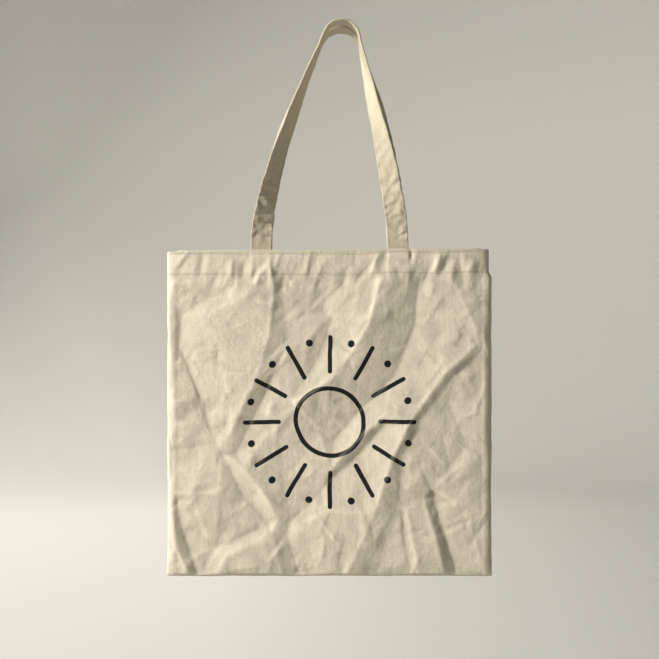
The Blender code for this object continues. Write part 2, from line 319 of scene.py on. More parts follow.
def crumple(rng, s, t, folds):
    """The panel's folds and facets, large to small, as heights out of its plane."""
    total = blur(folded_surface(*fold_points(folds), s, t), 0.5)
    total += blur(crease_lines(s, t, grip_creases(rng)) + fold_lips(s, t, folds), 0.5)
    for spacing, size, softness in FINE_FOLDS:
        points = scattered_points(rng, WIDTH / 2, 0.0, HEIGHT, spacing)
        heights = rng.normal(0.0, size, len(points))
        total = total + blur(folded_surface(points, heights, [], s, t), softness)
    return total


def mouth_dip(s):
    """How far a panel's top edge hangs below level: it sags between the handles that hold it up."""
    sag = 0.0
    for depth, place, reach in ((0.0014, -0.042, 0.022), (0.0007, 0.030, 0.026), (0.0006, 0.135, 0.024)):
        sag += depth * math.exp(-(((s - place) / reach) ** 2))
    return sag + noise.noise(Vector((s * 55, 2.7, 0.9))) * 0.0004


def hem_notch(t):
    """How far the hem's right end is drawn in from the panel's edge below it."""
    return NOTCH * (1 - smooth(t, HEM - 0.004, HEM + 0.004))


def swell(s, t):
    """How far a panel stands out of the bag's middle plane, before it is crumpled."""
    from_side = WIDTH / 2 - np.abs(s)
    from_bottom = HEIGHT - t
    left = waver(t[:, 0], 36, 1.3, 5.1)[:, None]
    right = waver(t[:, 0], 36, 6.4, 2.2)[:, None]
    low = waver(s[0], 34, 3.6, 8.8)[None, :]
    uneven = 1 + 0.7 * np.where(s < 0, left, right)
    sides = 0.42 * (1 - np.exp(-np.maximum(from_side, 0) / (0.0021 * uneven)))
    sides += 0.58 * (1 - np.exp(-np.maximum(from_side, 0) / (0.0240 * uneven)))
    bottom = 1 - np.exp(-np.maximum(from_bottom, 0) / (0.0075 * (1 + 0.6 * low)))
    return CLOTH / 2 + (FACE_Y - CLOTH) * sides * bottom


def panel_relief(side, folds, s, t):
    """Everything that moves a panel's face out of its smooth swell, outwards positive."""
    rng = np.random.default_rng(SEED + side)
    from_side = WIDTH / 2 - np.abs(s)
    from_bottom = HEIGHT - t
    free = 0.15 + 0.25 * smooth(t, 0.010, HEM) + 0.60 * smooth(t, HEM - 0.002, HEM + 0.010)
    free = free * smooth(from_side, 0.0, 0.0045) * smooth(from_bottom, 0.0, 0.0045)
    hem = 1 - smooth(t, HEM, HEM + 0.012)
    edge = smooth(from_side, 0.0, 0.010)
    relief = crumple(rng, s, t, folds) * free
    relief += blur(crease_lines(s, t, hem_puckers(rng)), 0.5) * edge * (0.4 + 0.6 * smooth(t, 0.0, 0.006))
    # Cloth lies higher over what is beneath it: the strap's end, the hem's flap, the seam allowances.
    over_strap = 1 - smooth(np.abs(np.abs(s) - STRAP_AT), STRAP_WIDTH / 2 - 0.001, STRAP_WIDTH / 2 + 0.002)
    relief = np.where(over_strap * hem > 0.3, np.maximum(relief, 0.0), relief)
    relief += OVER_STRAP * over_strap * hem * smooth(t, 0.0010, 0.0070)
    relief += OVER_FLAP * (1 - smooth(t, HEM - 0.0008, HEM + 0.0012)) * edge
    beside_seam = 1 - smooth(from_side, ALLOWANCE - 0.0010, ALLOWANCE + 0.0010)
    relief += OVER_SIDE_ALLOWANCE * beside_seam * (1 - hem)
    above_seam = 1 - smooth(from_bottom, 0.0052, 0.0072)
    relief += OVER_BOTTOM_ALLOWANCE * above_seam * smooth(from_bottom, 0.0, 0.003)
    for row in (UPPER_ROW, LOWER_ROW):
        relief -= STITCH_GROOVE * np.exp(-(((t - row) / 0.0014) ** 2)) * edge
    return relief


# ---- Panels ------------------------------------------------------------------------------------
def along_cloth(place, depth, axis):
    """Distance along the creased cloth, which is a little longer than it looks from the front."""
    step = np.hypot(np.diff(place, axis=axis), np.diff(blur(depth, 1.5), axis=axis))
    first = np.take(place, [0], axis=axis)
    run = np.concatenate([np.zeros_like(first), np.cumsum(step, axis=axis)], axis=axis)
    total = np.take(run, [-1], axis=axis)
    last = np.take(place, [-1], axis=axis)
    return first + run - (total - (last - first)) / 2


def stations(low, high, pitch):
    return np.linspace(low, high, max(2, int(round((high - low) / pitch)) + 1))


def make_panel(name, side, folds):
    """A panel as one cloth: hem's flap, folded edge, face, turned-in allowances."""
    half = WIDTH / 2
    face_s = stations(-half, half, PITCH)
    inner = half - EDGE_TURN - stations(0.0, ALLOWANCE - EDGE_TURN, ALLOWANCE_PITCH)
    across = np.concatenate([-inner[::-1], face_s, inner])
    on_face_s = np.zeros(len(across), dtype=bool)
    on_face_s[len(inner) : len(inner) + len(face_s)] = True
    fold_t = stations(0.0, 1.0, 0.2)
    flap_t = stations(-HEM + 0.0012, -MOUTH_TURN, PITCH)
    face_t = stations(MOUTH_TURN, HEIGHT, PITCH)
    bottom_t = stations(0.0, ALLOWANCE - EDGE_TURN, ALLOWANCE_PITCH)
    rows = len(flap_t) + len(fold_t) - 2 + len(face_t) + len(bottom_t)
    s_face, t_face = np.meshgrid(face_s, face_t)
    relief = panel_relief(side, folds, s_face, t_face)
    depth = swell(s_face, t_face) + relief
    depth = np.maximum(depth, CLOTH / 2 + CLEAR)
    edge_wave = waver(face_t, 38, 3.1 * side, 0.4) * 0.0009
    bottom_wave = waver(face_s, 31, 7.7, 1.9 * side) * 0.0006

    verts = np.zeros((rows, len(across), 3))
    uvs = np.zeros((rows, len(across), 2))
    crease = np.zeros((rows, len(across)))
    face_columns = np.where(on_face_s)[0]
    first = len(flap_t) + len(fold_t) - 2
    pull_in = edge_wave[:, None] * np.sign(s_face) * smooth(np.abs(s_face), half - 0.05, half)
    notch = hem_notch(t_face) * smooth(s_face, half - 0.02, half)
    face_x = MIDDLE_X + s_face + pull_in - notch
    face_z = TOP - t_face + bottom_wave[None, :] * smooth(t_face, HEIGHT - 0.03, HEIGHT)
    tilt = s_face / half * MOUTH_TILT * (1 - smooth(t_face, 0.03, 0.20))
    dip = np.array([mouth_dip(float(s)) for s in face_s])
    face_z = face_z + tilt - MOUTH_TILT - dip[None, :] * (1 - smooth(t_face, 0.03, 0.11))
    # Ridges and hollows of the relief, for the canvas: paler on ridges where rubbed, painted shade in
    # hollows.
    ridge = relief - blur(relief, 2.2)

    face_cells = np.ix_(range(first, first + len(face_t)), face_columns)
    verts[(*face_cells, 0)] = face_x
    verts[(*face_cells, 1)] = side * depth
    verts[(*face_cells, 2)] = face_z
    uvs[(*face_cells, 0)] = along_cloth(s_face, depth, 1)
    uvs[(*face_cells, 1)] = -along_cloth(t_face, depth, 0)
    crease[face_cells] = ridge

    # The folded edge and the flap copy the top of the face, moved in towards the bag's middle.
    fold = FLAP_STEP / 2
    for index, share in enumerate(fold_t[1:-1]):
        angle = math.pi * share
        row = first - 1 - index
        verts[row, face_columns, 0] = face_x[0]
        verts[row, face_columns, 1] = side * (depth[0] - fold * (1 - math.cos(angle)))
        verts[row, face_columns, 2] = face_z[0] + MOUTH_TURN * math.sin(angle)
        uvs[row, face_columns, 0] = face_s
        uvs[row, face_columns, 1] = 0.0005
    for row, t in enumerate(flap_t):
        mirror = int(np.argmin(np.abs(face_t + t)))
        verts[row, face_columns, 0] = face_x[mirror]
        verts[row, face_columns, 1] = side * (depth[mirror] - FLAP_STEP)
        verts[row, face_columns, 2] = face_z[mirror]
        uvs[row, face_columns, 0] = face_s
        uvs[row, face_columns, 1] = -t

    # The side allowances lie in the bag's middle plane, and so does the bottom one.
    layer = side * (CLOTH / 2 + CLEAR)
    for column in np.where(~on_face_s)[0]:
        sign = math.copysign(1.0, across[column])
        seam = face_columns[0] if sign < 0 else face_columns[-1]
        for row in range(first, first + len(face_t)):
            inwards = half - abs(across[column])
            verts[row, column] = (verts[row, seam, 0] - sign * inwards, layer, verts[row, seam, 2])
            uvs[row, column] = (across[column], uvs[row, seam, 1])
    last = first + len(face_t) - 1
    for index, up in enumerate(bottom_t):
        row = last + 1 + index
        verts[row, face_columns, 0] = face_x[-1]
        verts[row, face_columns, 1] = layer
        verts[row, face_columns, 2] = face_z[-1] + EDGE_TURN + up
        uvs[row, face_columns, 0] = face_s
        uvs[row, face_columns, 1] = -HEIGHT - EDGE_TURN - up

    columns = len(across)
    flap_columns = (np.abs(across) <= half - ALLOWANCE - 0.003) & on_face_s
    faces = []
    for row in range(rows - 1):
        on_flap = row < first
        on_bottom = row >= last
        for column in range(columns - 1):
            pair = (column, column + 1)
            if on_flap or on_bottom:
                if not all(flap_columns[c] for c in pair):
                    continue
            elif not all(on_face_s[c] for c in pair) and row > last - 8:
                continue
            a = row * columns + column
            quad = (a, a + 1, a + columns + 1, a + columns)
            faces.append(quad if side < 0 else quad[::-1])
    return cloth_object(name, verts.reshape(-1, 3), faces, uvs.reshape(-1, 2), crease.reshape(-1), CLOTH)


def add_object(name, data):
    obj = bpy.data.objects.new(name, data)
    bpy.context.scene.collection.objects.link(obj)
    return obj


def mesh_object(name, verts, faces):
    """A smooth-shaded mesh object in the scene."""
    mesh = bpy.data.meshes.new(name)
    mesh.from_pydata([tuple(v) for v in verts], [], faces)
    mesh.shade_smooth()
    return add_object(name, mesh)


def cloth_object(name, verts, faces, uvs, crease, thickness):
    """A thickened sheet with its flat position as a UV map in metres and its creases as an attribute."""
    used = sorted({index for face in faces for index in face})
    renumber = {old: new for new, old in enumerate(used)}
    faces = [tuple(renumber[i] for i in face) for face in faces]
    obj = mesh_object(name, [verts[i] for i in used], faces)
    mesh = obj.data
    layer = mesh.uv_layers.new(name="cloth")
    corner = np.empty(len(mesh.loops), dtype=np.int32)
    mesh.loops.foreach_get("vertex_index", corner)
    kept_uvs = np.asarray(uvs)[used]
    layer.data.foreach_set("uv", kept_uvs[corner].reshape(-1).astype(np.float32))
    point_values(mesh, "crease", np.asarray(crease)[used] / MM)
    solidify = obj.modifiers.new("thickness", "SOLIDIFY")
    solidify.thickness = thickness
    solidify.offset = 0.0
    return obj


# ---- Straps ------------------------------------------------------------------------------------
PEG_RADIUS = {FRONT: 0.0200, BACK: 0.0225}
LEFT_LEAN = math.radians(22)
RIGHT_LEAN = math.radians(12)
LEFT_TWIST_POWER = 0.85
RIGHT_TWIST_POWER = 1.35
RISE_AT_HEM = 0.23
PULL_AT_PEG = 0.45
BOW = {FRONT: 0.0, BACK: 0.0062}  # the back handle hangs a little slacker, so it shows beside the front one
LEG_STEPS = 190
ARC_STEPS = 44
END_STEPS = 14


def bezier(points, t):
    a, b, c, d = points
    u = 1 - t
    return a * u**3 + b * 3 * u * u * t + c * 3 * u * t * t + d * t**3


def leg_points(side_x, radius, peg, lean):
    start = Vector((MIDDLE_X + side_x * STRAP_AT, 0.0, HINGE_Z))
    end = Vector((side_x * radius * math.cos(lean), 0.0, radius * math.sin(lean) - peg))
    onwards = Vector((-side_x * math.sin(lean), 0.0, math.cos(lean)))
    length = (end - start).length
    control = (start, start + Vector((0, 0, RISE_AT_HEM * length)), end - onwards * PULL_AT_PEG * length, end)
    return [bezier(control, step / LEG_STEPS) for step in range(LEG_STEPS + 1)]


def strap_frames(side):
    """(middle, across, face, running length) along a strap, from one end inside the hem to the other."""
    peg = PEG_RADIUS[side]
    radius = peg + STRAP_THICKNESS / 2

    def leg(side_x, lean, power):
        points = leg_points(side_x, radius, peg, lean)
        for index, point in enumerate(points):
            point.x += side_x * BOW[side] * math.sin(math.pi * (index / LEG_STEPS) ** 2.2)
        turns = [math.pi / 2 * (i / LEG_STEPS) ** power for i in range(LEG_STEPS + 1)]
        sewn = []
        for step in range(END_STEPS):
            z = STRAP_END_Z + (HINGE_Z - STRAP_END_Z) * step / END_STEPS
            sewn.append((Vector((points[0].x, 0.0, z)), 0.0))
        return sewn + list(zip(points, turns))

    left = leg(-1, LEFT_LEAN, LEFT_TWIST_POWER)
    right = leg(1, RIGHT_LEAN, RIGHT_TWIST_POWER)
    arc = []
    for step in range(1, ARC_STEPS):
        angle = math.pi - LEFT_LEAN + (RIGHT_LEAN + LEFT_LEAN - math.pi) * step / ARC_STEPS
        point = Vector((radius * math.cos(angle), 0.0, radius * math.sin(angle) - peg))
        arc.append((point, math.pi / 2))
    line = left + arc + right[::-1]
    frames = []
    run = 0.0
    for index, (point, twist) in enumerate(line):
        along = (line[min(index + 1, len(line) - 1)][0] - line[max(index - 1, 0)][0]).normalized()
        into_loop = Vector((along.z, 0.0, -along.x))
        across = into_loop * math.cos(twist) - Vector((0, side * math.sin(twist), 0))
        middle = point + Vector((0, side * (STRAP_Y + (APEX_Y - STRAP_Y) * math.sin(twist)), 0))
        face = across.cross(along) * -side
        if index:
            run += (middle - frames[-1][0]).length
        frames.append((middle, across, face, run))
    return frames


def strap_section():
    """Outline of the folded strap, across and out of its face, as shares of its half width and thickness."""
    flat = [-0.93, -0.87, -0.80, -0.72, -0.58, -0.40, -0.20, 0.0, 0.20, 0.40, 0.58, 0.72, 0.80, 0.87, 0.93]
    dip = {0.93: 1.08, 0.87: 1.02, 0.80: 0.68, 0.72: 0.86, 0.58: 0.90}
    upper = [(a, dip.get(abs(a), 0.88)) for a in flat]
    right = [(0.975, 0.72), (0.985, 0.30), (0.955, 0.0), (0.985, -0.30), (0.975, -0.72)]
    lower = [(a, -dip.get(abs(a), 0.88)) for a in reversed(flat)]
    left = [(-0.98, -0.68), (-1.0, -0.2), (-1.0, 0.2), (-0.98, 0.68)]
    return upper + right + lower + left


def strap_shift(side, across, run, total):
    """How the strap's cloth is creased: (sideways, out of its face), in metres."""
    seed = 5.3 + 11.0 * side
    from_end = min(run, total - run)
    near_hem = math.exp(-((max(0.0, from_end - 0.060) / 0.062) ** 2))
    stiff = smooth(np.array(from_end), 0.030, 0.050).item()
    p = Vector((across * 75, run * 85, seed))
    fine = noise.noise(p) * 0.00034 + noise.noise(p * 2.3) * 0.00016
    slant = Vector((across * 70 + run * 24, run * 78 - across * 46, seed + 4))
    sharp = Vector((across * 150 - run * 30, run * 128 + across * 60, seed + 7))
    cross = (0.42 - abs(noise.noise(slant)) * 2) * 0.0021 + (0.42 - abs(noise.noise(sharp)) * 2) * 0.0008
    cross *= 0.14 + near_hem
    wave = noise.noise(Vector((0, run * 24, seed + 9))) * 0.0012
    curl = (across / (STRAP_WIDTH / 2)) ** 2 * noise.noise(Vector((across * 30, run * 20, seed + 2))) * 0.0011
    edge = noise.noise(Vector((math.copysign(2.0, across), run * 55, seed + 6))) * 0.00045
    share = abs(across) / (STRAP_WIDTH / 2)
    return edge * share * stiff, (fine - cross + wave + curl) * stiff


def make_strap(name, side):
    frames = strap_frames(side)
    total = frames[-1][3]
    section = strap_section()
    verts, uvs, crease = [], [], []
    for middle, across, face, run in frames:
        for a, n in section:
            at = a * STRAP_WIDTH / 2
            sideways, out = strap_shift(side, at, run, total)
            verts.append(middle + across * (at + sideways) + face * (n * STRAP_THICKNESS / 2 + out))
            uvs.append((at + (0.2 if n < 0 else 0.0), run))
            # How far the strap's cloth stands out, for its canvas: paler where raised and rubbed, painted
            # shade where sunk.
            crease.append(out * 0.25)
    obj = mesh_object(name, verts, tube_faces(0, len(frames), len(section)))
    mesh = obj.data
    layer = mesh.uv_layers.new(name="cloth")
    for loop in mesh.loops:
        layer.data[loop.index].uv = uvs[loop.vertex_index]
    point_values(mesh, "crease", np.array(crease) / MM)
    recalculate(mesh)
    return obj, frames


def tube_faces(first, rings, sides):
    """Faces of a tube with closed ends, whose points are its rings in order from number first."""
    faces = []
    for row in range(rings - 1):
        a = first + row * sides
        for k in range(sides):
            n = (k + 1) % sides
            faces.append((a + k, a + n, a + sides + n, a + sides + k))
    last = first + (rings - 1) * sides
    return faces + [tuple(range(first, first + sides))[::-1], tuple(range(last, last + sides))]


def point_values(mesh, name, values):
    """Stores one number for each point of a mesh, for its material to read."""
    attribute = mesh.attributes.new(name, "FLOAT", "POINT")
    attribute.data.foreach_set("value", np.asarray(values).astype(np.float32))


def recalculate(mesh):
    work = bmesh.new()
    work.from_mesh(mesh)
    bmesh.ops.recalc_face_normals(work, faces=work.faces)
    work.to_mesh(mesh)
    work.free()


# ---- Stitches ----------------------------------------------------------------------------------
STITCH_LENGTH = 0.0021
STITCH_GAP = 0.0012
STITCH_RADIUS = 0.00039
STITCH_SIDES = 6
STITCH_SLANT = 0.00022
# A stitch's rings: (share of its length, height and size as shares of its radius, how much painted shade it
# gets where it dips into the cloth).
STITCH_RINGS = (
    (0.0, -0.9, 0.55, 1.0),
    (0.12, 0.0, 0.95, 0.35),
    (0.5, 0.6, 1.1, 0.0),
    (0.88, 0.0, 0.95, 0.35),
    (1.0, -0.9, 0.55, 1.0),
)


def stitch_row(verts, faces, path):
    """Adds stitches along a path of (point, outward): each is a short thread that dips in at both ends."""
    runs = [0.0]
    for (a, _), (b, _) in zip(path, path[1:]):
        runs.append(runs[-1] + (b - a).length)

    def at(run):
        index = min(max(int(np.searchsorted(runs, run)) - 1, 0), len(path) - 2)
        share = (run - runs[index]) / max(runs[index + 1] - runs[index], 1e-9)
        point = path[index][0].lerp(path[index + 1][0], share)
        outward = path[index][1].lerp(path[index + 1][1], share).normalized()
        return point, outward, (path[index + 1][0] - path[index][0]).normalized()

    run = 0.0
    while run + STITCH_LENGTH < runs[-1]:
        faces.extend(tube_faces(len(verts), len(STITCH_RINGS), STITCH_SIDES))
        for share, lift, size, _ in STITCH_RINGS:
            point, outward, along = at(run + share * STITCH_LENGTH)
            sideways = along.cross(outward).normalized()
            slant = (share - 0.5) * STITCH_SLANT
            centre = point + outward * lift * STITCH_RADIUS + sideways * slant
            for k in range(STITCH_SIDES):
                angle = TURN * k / STITCH_SIDES
                spoke = outward * math.cos(angle) + sideways * math.sin(angle)
                verts.append(centre + spoke * STITCH_RADIUS * size)
        run += STITCH_LENGTH + STITCH_GAP


def stitch_object(name, paths):
    verts, faces = [], []
    for path in paths:
        stitch_row(verts, faces, path)
    obj = mesh_object(name, verts, faces)
    stitch = np.repeat([end_shade for _, _, _, end_shade in STITCH_RINGS], STITCH_SIDES)
    point_values(obj.data, "stitch_end_shade", np.tile(stitch, len(verts) // len(stitch)))
    recalculate(obj.data)
    obj.data.materials.append(MATERIALS["thread"])
    return obj


def surface_path(tree, side, points):
    """Points (x, z) found on a panel's outer surface, with its outward direction there."""
    path = []
    for x, z in points:
        start = Vector((x, side * 0.05, z))
        hit, normal, _, _ = tree.ray_cast(start, Vector((0, -side, 0)))
        if hit is None:
            continue
        outward = normal if normal.y * side > 0 else -normal
        path.append((hit, outward))
    return path


def tree_of(obj):
    graph = bpy.context.evaluated_depsgraph_get()
    return BVHTree.FromObject(obj, graph)


def hem_stitches(word, side, panel):
    tree = tree_of(panel)
    half = WIDTH / 2 - 0.0035
    for row, depth in (("upper", UPPER_ROW), ("lower", LOWER_ROW)):
        points = []
        for s in stations(-half, half, 0.0015):
            wander = noise.noise(Vector((s * 20, depth * 900, side))) * 0.0006
            tilt = s / (WIDTH / 2) * MOUTH_TILT - MOUTH_TILT
            points.append((MIDDLE_X + s, TOP - depth + wander + tilt - mouth_dip(float(s))))
        obj = stitch_object(f"{word}_hem_{row}_row", [surface_path(tree, side, points)])
        finish_piece(obj, "bag", "thread", f"{word}_hem_{row}_stitches")


def strap_stitches(word, side, frames):
    """Two rows on each face of a strap. Each follows the strap from one sewn end to the other."""
    total = frames[-1][3]
    for edge, sign in (("outer", -1), ("inner", 1)):
        at = sign * STRAP_WIDTH / 2 * 0.80
        paths = []
        for face_sign in (1, -1):
            path = []
            for middle, across, face, run in frames:
                if run < 0.004 or run > total - 0.004:
                    continue
                sideways, out = strap_shift(side, at, run, total)
                point = middle + across * (at + sideways)
                point += face * (face_sign * STRAP_THICKNESS / 2 * 0.78 + out)
                path.append((point, face * face_sign))
            paths.append(path)
        obj = stitch_object(f"{word}_strap_{edge}_rows", paths)
        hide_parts(f"{word}_handle_{edge}_stitches")
        over_hem(obj)


def over_hem(obj):
    """Bakes a strap piece's transform into its mesh."""
    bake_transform(obj)


def finish_piece(obj, body, slot, *nodes):
    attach(obj, body)
    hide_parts(*nodes)


# ---- Thread inside the bag ---------------------------------------------------------------------
SEAM_ROW_IN = 0.0025  # the seam's own stitches, in from the bag's edge
OVERLOCK_PITCH = 0.0021
OVERLOCK_REACH = 0.0030
OVERLOCK_ON_CLOTH = 0.0022
OVERLOCK_LIFT = 0.00095
OVERLOCK_RADIUS = 0.00020
LOOP_STEPS = 6


def seam_pieces(name, start, end, into_bag):
    """The seam's stitches and the overlock looped round both raw edges."""
    length = (end - start).length
    along = (end - start).normalized()
    out = Vector((0, 1, 0))

    def on_seam(run):
        point = start + along * run
        if into_bag.x < 0:
            point += into_bag * float(hem_notch(TOP - point.z))
        return point

    steps = int(length / 0.004)
    path = []
    for step in range(steps + 1):
        path.append((on_seam(length * step / steps) + into_bag * SEAM_ROW_IN + out * CLOTH, out))
    stitches = stitch_object(name + "_row", [path])
    finish_piece(stitches, "bag", "thread", name + "_stitches")

    turns = int(length / OVERLOCK_PITCH)
    points = []
    for step in range(turns * LOOP_STEPS + 1):
        angle = TURN * step / LOOP_STEPS
        inward = ALLOWANCE - OVERLOCK_ON_CLOTH + OVERLOCK_REACH * (0.5 - 0.5 * math.cos(angle))
        lift = OVERLOCK_LIFT * math.sin(angle)
        points.append(on_seam(length * step / (turns * LOOP_STEPS)) + into_bag * inward + out * lift)
    overlock = tube_object(name + "_binding", points, OVERLOCK_RADIUS)
    overlock.data.materials.append(MATERIALS["thread"])
    finish_piece(overlock, "bag", "thread", name + "_overlock")


def tube_object(name, points, radius, sides=5):
    verts = []
    for index, point in enumerate(points):
        along = (points[min(index + 1, len(points) - 1)] - points[max(index - 1, 0)]).normalized()
        a = along.orthogonal().normalized()
        if index:
            a = (previous - along * previous.dot(along)).normalized()
        previous = a
        b = along.cross(a)
        for k in range(sides):
            angle = TURN * k / sides
            verts.append(point + (a * math.cos(angle) + b * math.sin(angle)) * radius)
    return mesh_object(name, verts, tube_faces(0, len(points), sides))


# ---- Materials ---------------------------------------------------------------------------------
class Tree:
    """Short calls for writing one material's nodes."""

    def __init__(self, name):
        self.material = bpy.data.materials.new(name)
        self.material.use_nodes = True
        self.nodes = self.material.node_tree.nodes
        self.links = self.material.node_tree.links
        self.shader = self.nodes["Principled BSDF"]

    def put(self, socket, value):
        if isinstance(value, bpy.types.NodeSocket):
            self.links.new(value, socket)
        elif value is not None:
            socket.default_value = value

    def node(self, kind, inputs):
        """A new node with its inputs set, each to a number or to what another node gives."""
        node = self.nodes.new("ShaderNode" + kind)
        for key, value in inputs.items():
            self.put(node.inputs[key], value)
        return node

    def stored(self, name):
        """The number that each point of the mesh holds under a name."""
        node = self.nodes.new("ShaderNodeAttribute")
        node.attribute_name = name
        return node.outputs["Fac"]

    def math(self, operation, a, b=None):
        node = self.node("Math", {0: a, 1: b})
        node.operation = operation
        return node.outputs[0]

    def add(self, a, b):
        return self.math("ADD", a, b)

    def minus(self, a, b):
        return self.math("SUBTRACT", a, b)

    def times(self, a, b):
        return self.math("MULTIPLY", a, b)

    def distance(self, a, b):
        return self.math("SQRT", self.add(self.math("POWER", a, 2.0), self.math("POWER", b, 2.0)))

    def noise(self, vector, scale, detail=2.0, roughness=0.5):
        inputs = {"Vector": vector, "Scale": scale, "Detail": detail, "Roughness": roughness}
        return self.node("TexNoise", inputs).outputs["Fac"]

    def stretch(self, vector, scale):
        return self.node("Mapping", {"Vector": vector, "Scale": scale}).outputs["Vector"]

    def range(self, value, low, high, to_low=0.0, to_high=1.0):
        return self.node("MapRange", {0: value, 1: low, 2: high, 3: to_low, 4: to_high}).outputs[0]

    def mix(self, share, a, b, blend="MIX"):
        node = self.nodes.new("ShaderNodeMix")
        node.data_type = "RGBA"
        node.blend_type = blend
        for key, value in (("Factor", share), ("A", a), ("B", b)):
            self.put(node.inputs[key], value)
        return node.outputs["Result"]

    def bump(self, height, distance, strength, normal=None):
        inputs = {"Height": height, "Distance": distance, "Strength": strength, "Normal": normal}
        return self.node("Bump", inputs).outputs["Normal"]

    def surface(self, inputs):
        """The finished material, with its shader's inputs set."""
        for key, value in inputs.items():
            self.put(self.shader.inputs[key], value)
        return self.material


YARN = 0.00072  # pitch of the canvas's yarns


def weave(tree, uv):
    """Height of a plain weave from 0 to 1, its yarns wandering and swelling as spun cotton does."""
    wander = tree.noise(uv, 420.0, 2.0)
    split = tree.nodes.new("ShaderNodeSeparateXYZ")
    tree.links.new(uv, split.inputs[0])
    drift = tree.times(tree.minus(wander, 0.5), 0.9)
    u = tree.add(tree.math("DIVIDE", split.outputs[0], YARN), drift)
    v = tree.add(tree.math("DIVIDE", split.outputs[1], YARN), drift)
    across = tree.math("ABSOLUTE", tree.math("SINE", tree.times(u, math.pi)))
    down = tree.math("ABSOLUTE", tree.math("SINE", tree.times(v, math.pi)))
    cells = tree.add(tree.math("FLOOR", u), tree.math("FLOOR", v))
    over = tree.math("PINGPONG", cells, 1.0)

    def yarn(width, length):
        swelling = tree.add(tree.times(length, 0.5), 0.5)
        return tree.times(tree.math("POWER", width, 0.6), swelling)

    lower = tree.times(yarn(across, down), tree.minus(1.0, over))
    return tree.add(lower, tree.times(yarn(down, across), over)), split


def canvas(name, light, shade, hemmed=False, ink=False):
    """Unbleached canvas: weave, slubs, flecks of seed husk, crease ridges rubbed pale, painted shade between
    the yarns, in crease hollows and along the hem's stitch rows, and the print if asked.
    """
    tree = Tree(name)
    source = tree.nodes.new("ShaderNodeUVMap")
    source.uv_map = "cloth"
    uv = source.outputs["UV"]
    crease = tree.stored("crease")
    height, split = weave(tree, uv)

    warp_slub = tree.noise(tree.stretch(uv, (900.0, 42.0, 1.0)), 1.0, 2.0)
    weft_slub = tree.noise(tree.stretch(uv, (42.0, 900.0, 1.0)), 1.0, 2.0)
    slub = tree.add(warp_slub, weft_slub)
    cloud = tree.noise(uv, 13.0, 4.0, 0.6)
    mottle = tree.noise(uv, 70.0, 3.0, 0.6)
    patches = tree.add(tree.times(cloud, 0.65), tree.times(mottle, 0.35))
    tone = tree.range(patches, 0.3, 0.7)
    colour = tree.mix(tone, shade, light)
    yarn_tone = tree.range(slub, 0.7, 1.3, 0.94, 1.03)
    # Painted shade: the cloth is darker in the low gaps between the yarns.
    painted_gap_shade = tree.range(height, 0.05, 0.75, 0.80, 1.03)
    # Crease ridges paler where rubbed, and painted shade in the crease hollows.
    rubbed_ridges_shaded_hollows = tree.range(crease, -0.45, 0.45, 0.90, 1.09)
    long_yarn = tree.noise(tree.stretch(uv, (330.0, 14.0, 1.0)), 1.0, 2.0)
    streak = tree.range(long_yarn, 0.3, 0.7, 0.965, 1.03)
    level = yarn_tone
    for share in (painted_gap_shade, rubbed_ridges_shaded_hollows, streak):
        level = tree.times(level, share)
    level = tree.node("CombineXYZ", {0: level, 1: level, 2: level}).outputs[0]
    colour = tree.mix(1.0, colour, level, "MULTIPLY")
    fleck = tree.noise(tree.stretch(uv, (700.0, 1100.0, 1.0)), 1.0, 1.0)
    seed_husk = tree.range(fleck, 0.765, 0.80)
    colour = tree.mix(tree.times(seed_husk, 0.55), colour, (0.22, 0.13, 0.055, 1.0))
    if hemmed:
        # Painted shade along each hem stitch row, where the stitches pull the cloth into a groove.
        wander = tree.times(tree.minus(tree.noise(uv, 30.0), 0.5), 0.0012)
        for row in (UPPER_ROW, LOWER_ROW):
            off = tree.math("ABSOLUTE", tree.add(tree.add(split.outputs[1], row), wander))
            stitch_row_shade = tree.range(off, 0.0016, 0.0003, 0.0, 0.34)
            colour = tree.mix(stitch_row_shade, colour, (0.30, 0.26, 0.19, 1.0))
    if ink:
        colour = print_ink(tree, split, uv, crease, colour)
    rumple = tree.noise(uv, 210.0, 3.0, 0.55)
    normal = tree.bump(rumple, 0.00092, 0.9)
    normal = tree.bump(tree.add(height, tree.times(slub, 0.4)), 0.00013, 0.9, normal)
    sheen = {"Sheen Weight": 0.06, "Sheen Roughness": 0.55, "Specular IOR Level": 0.25}
    return tree.surface({"Base Color": colour, "Roughness": 0.92, "Normal": normal, **sheen})


# The print: a sunburst of short rays with a dot between each two, in one dark ink.
PRINT_DOWN = 0.201
RAYS = 12
RAY_INNER = 0.060
RAY_OUTER = 0.100
RAY_HALF_WIDTH = 0.0026
DOT_AT = 0.096
DOT_RADIUS = 0.0042
RING_RADIUS = 0.040


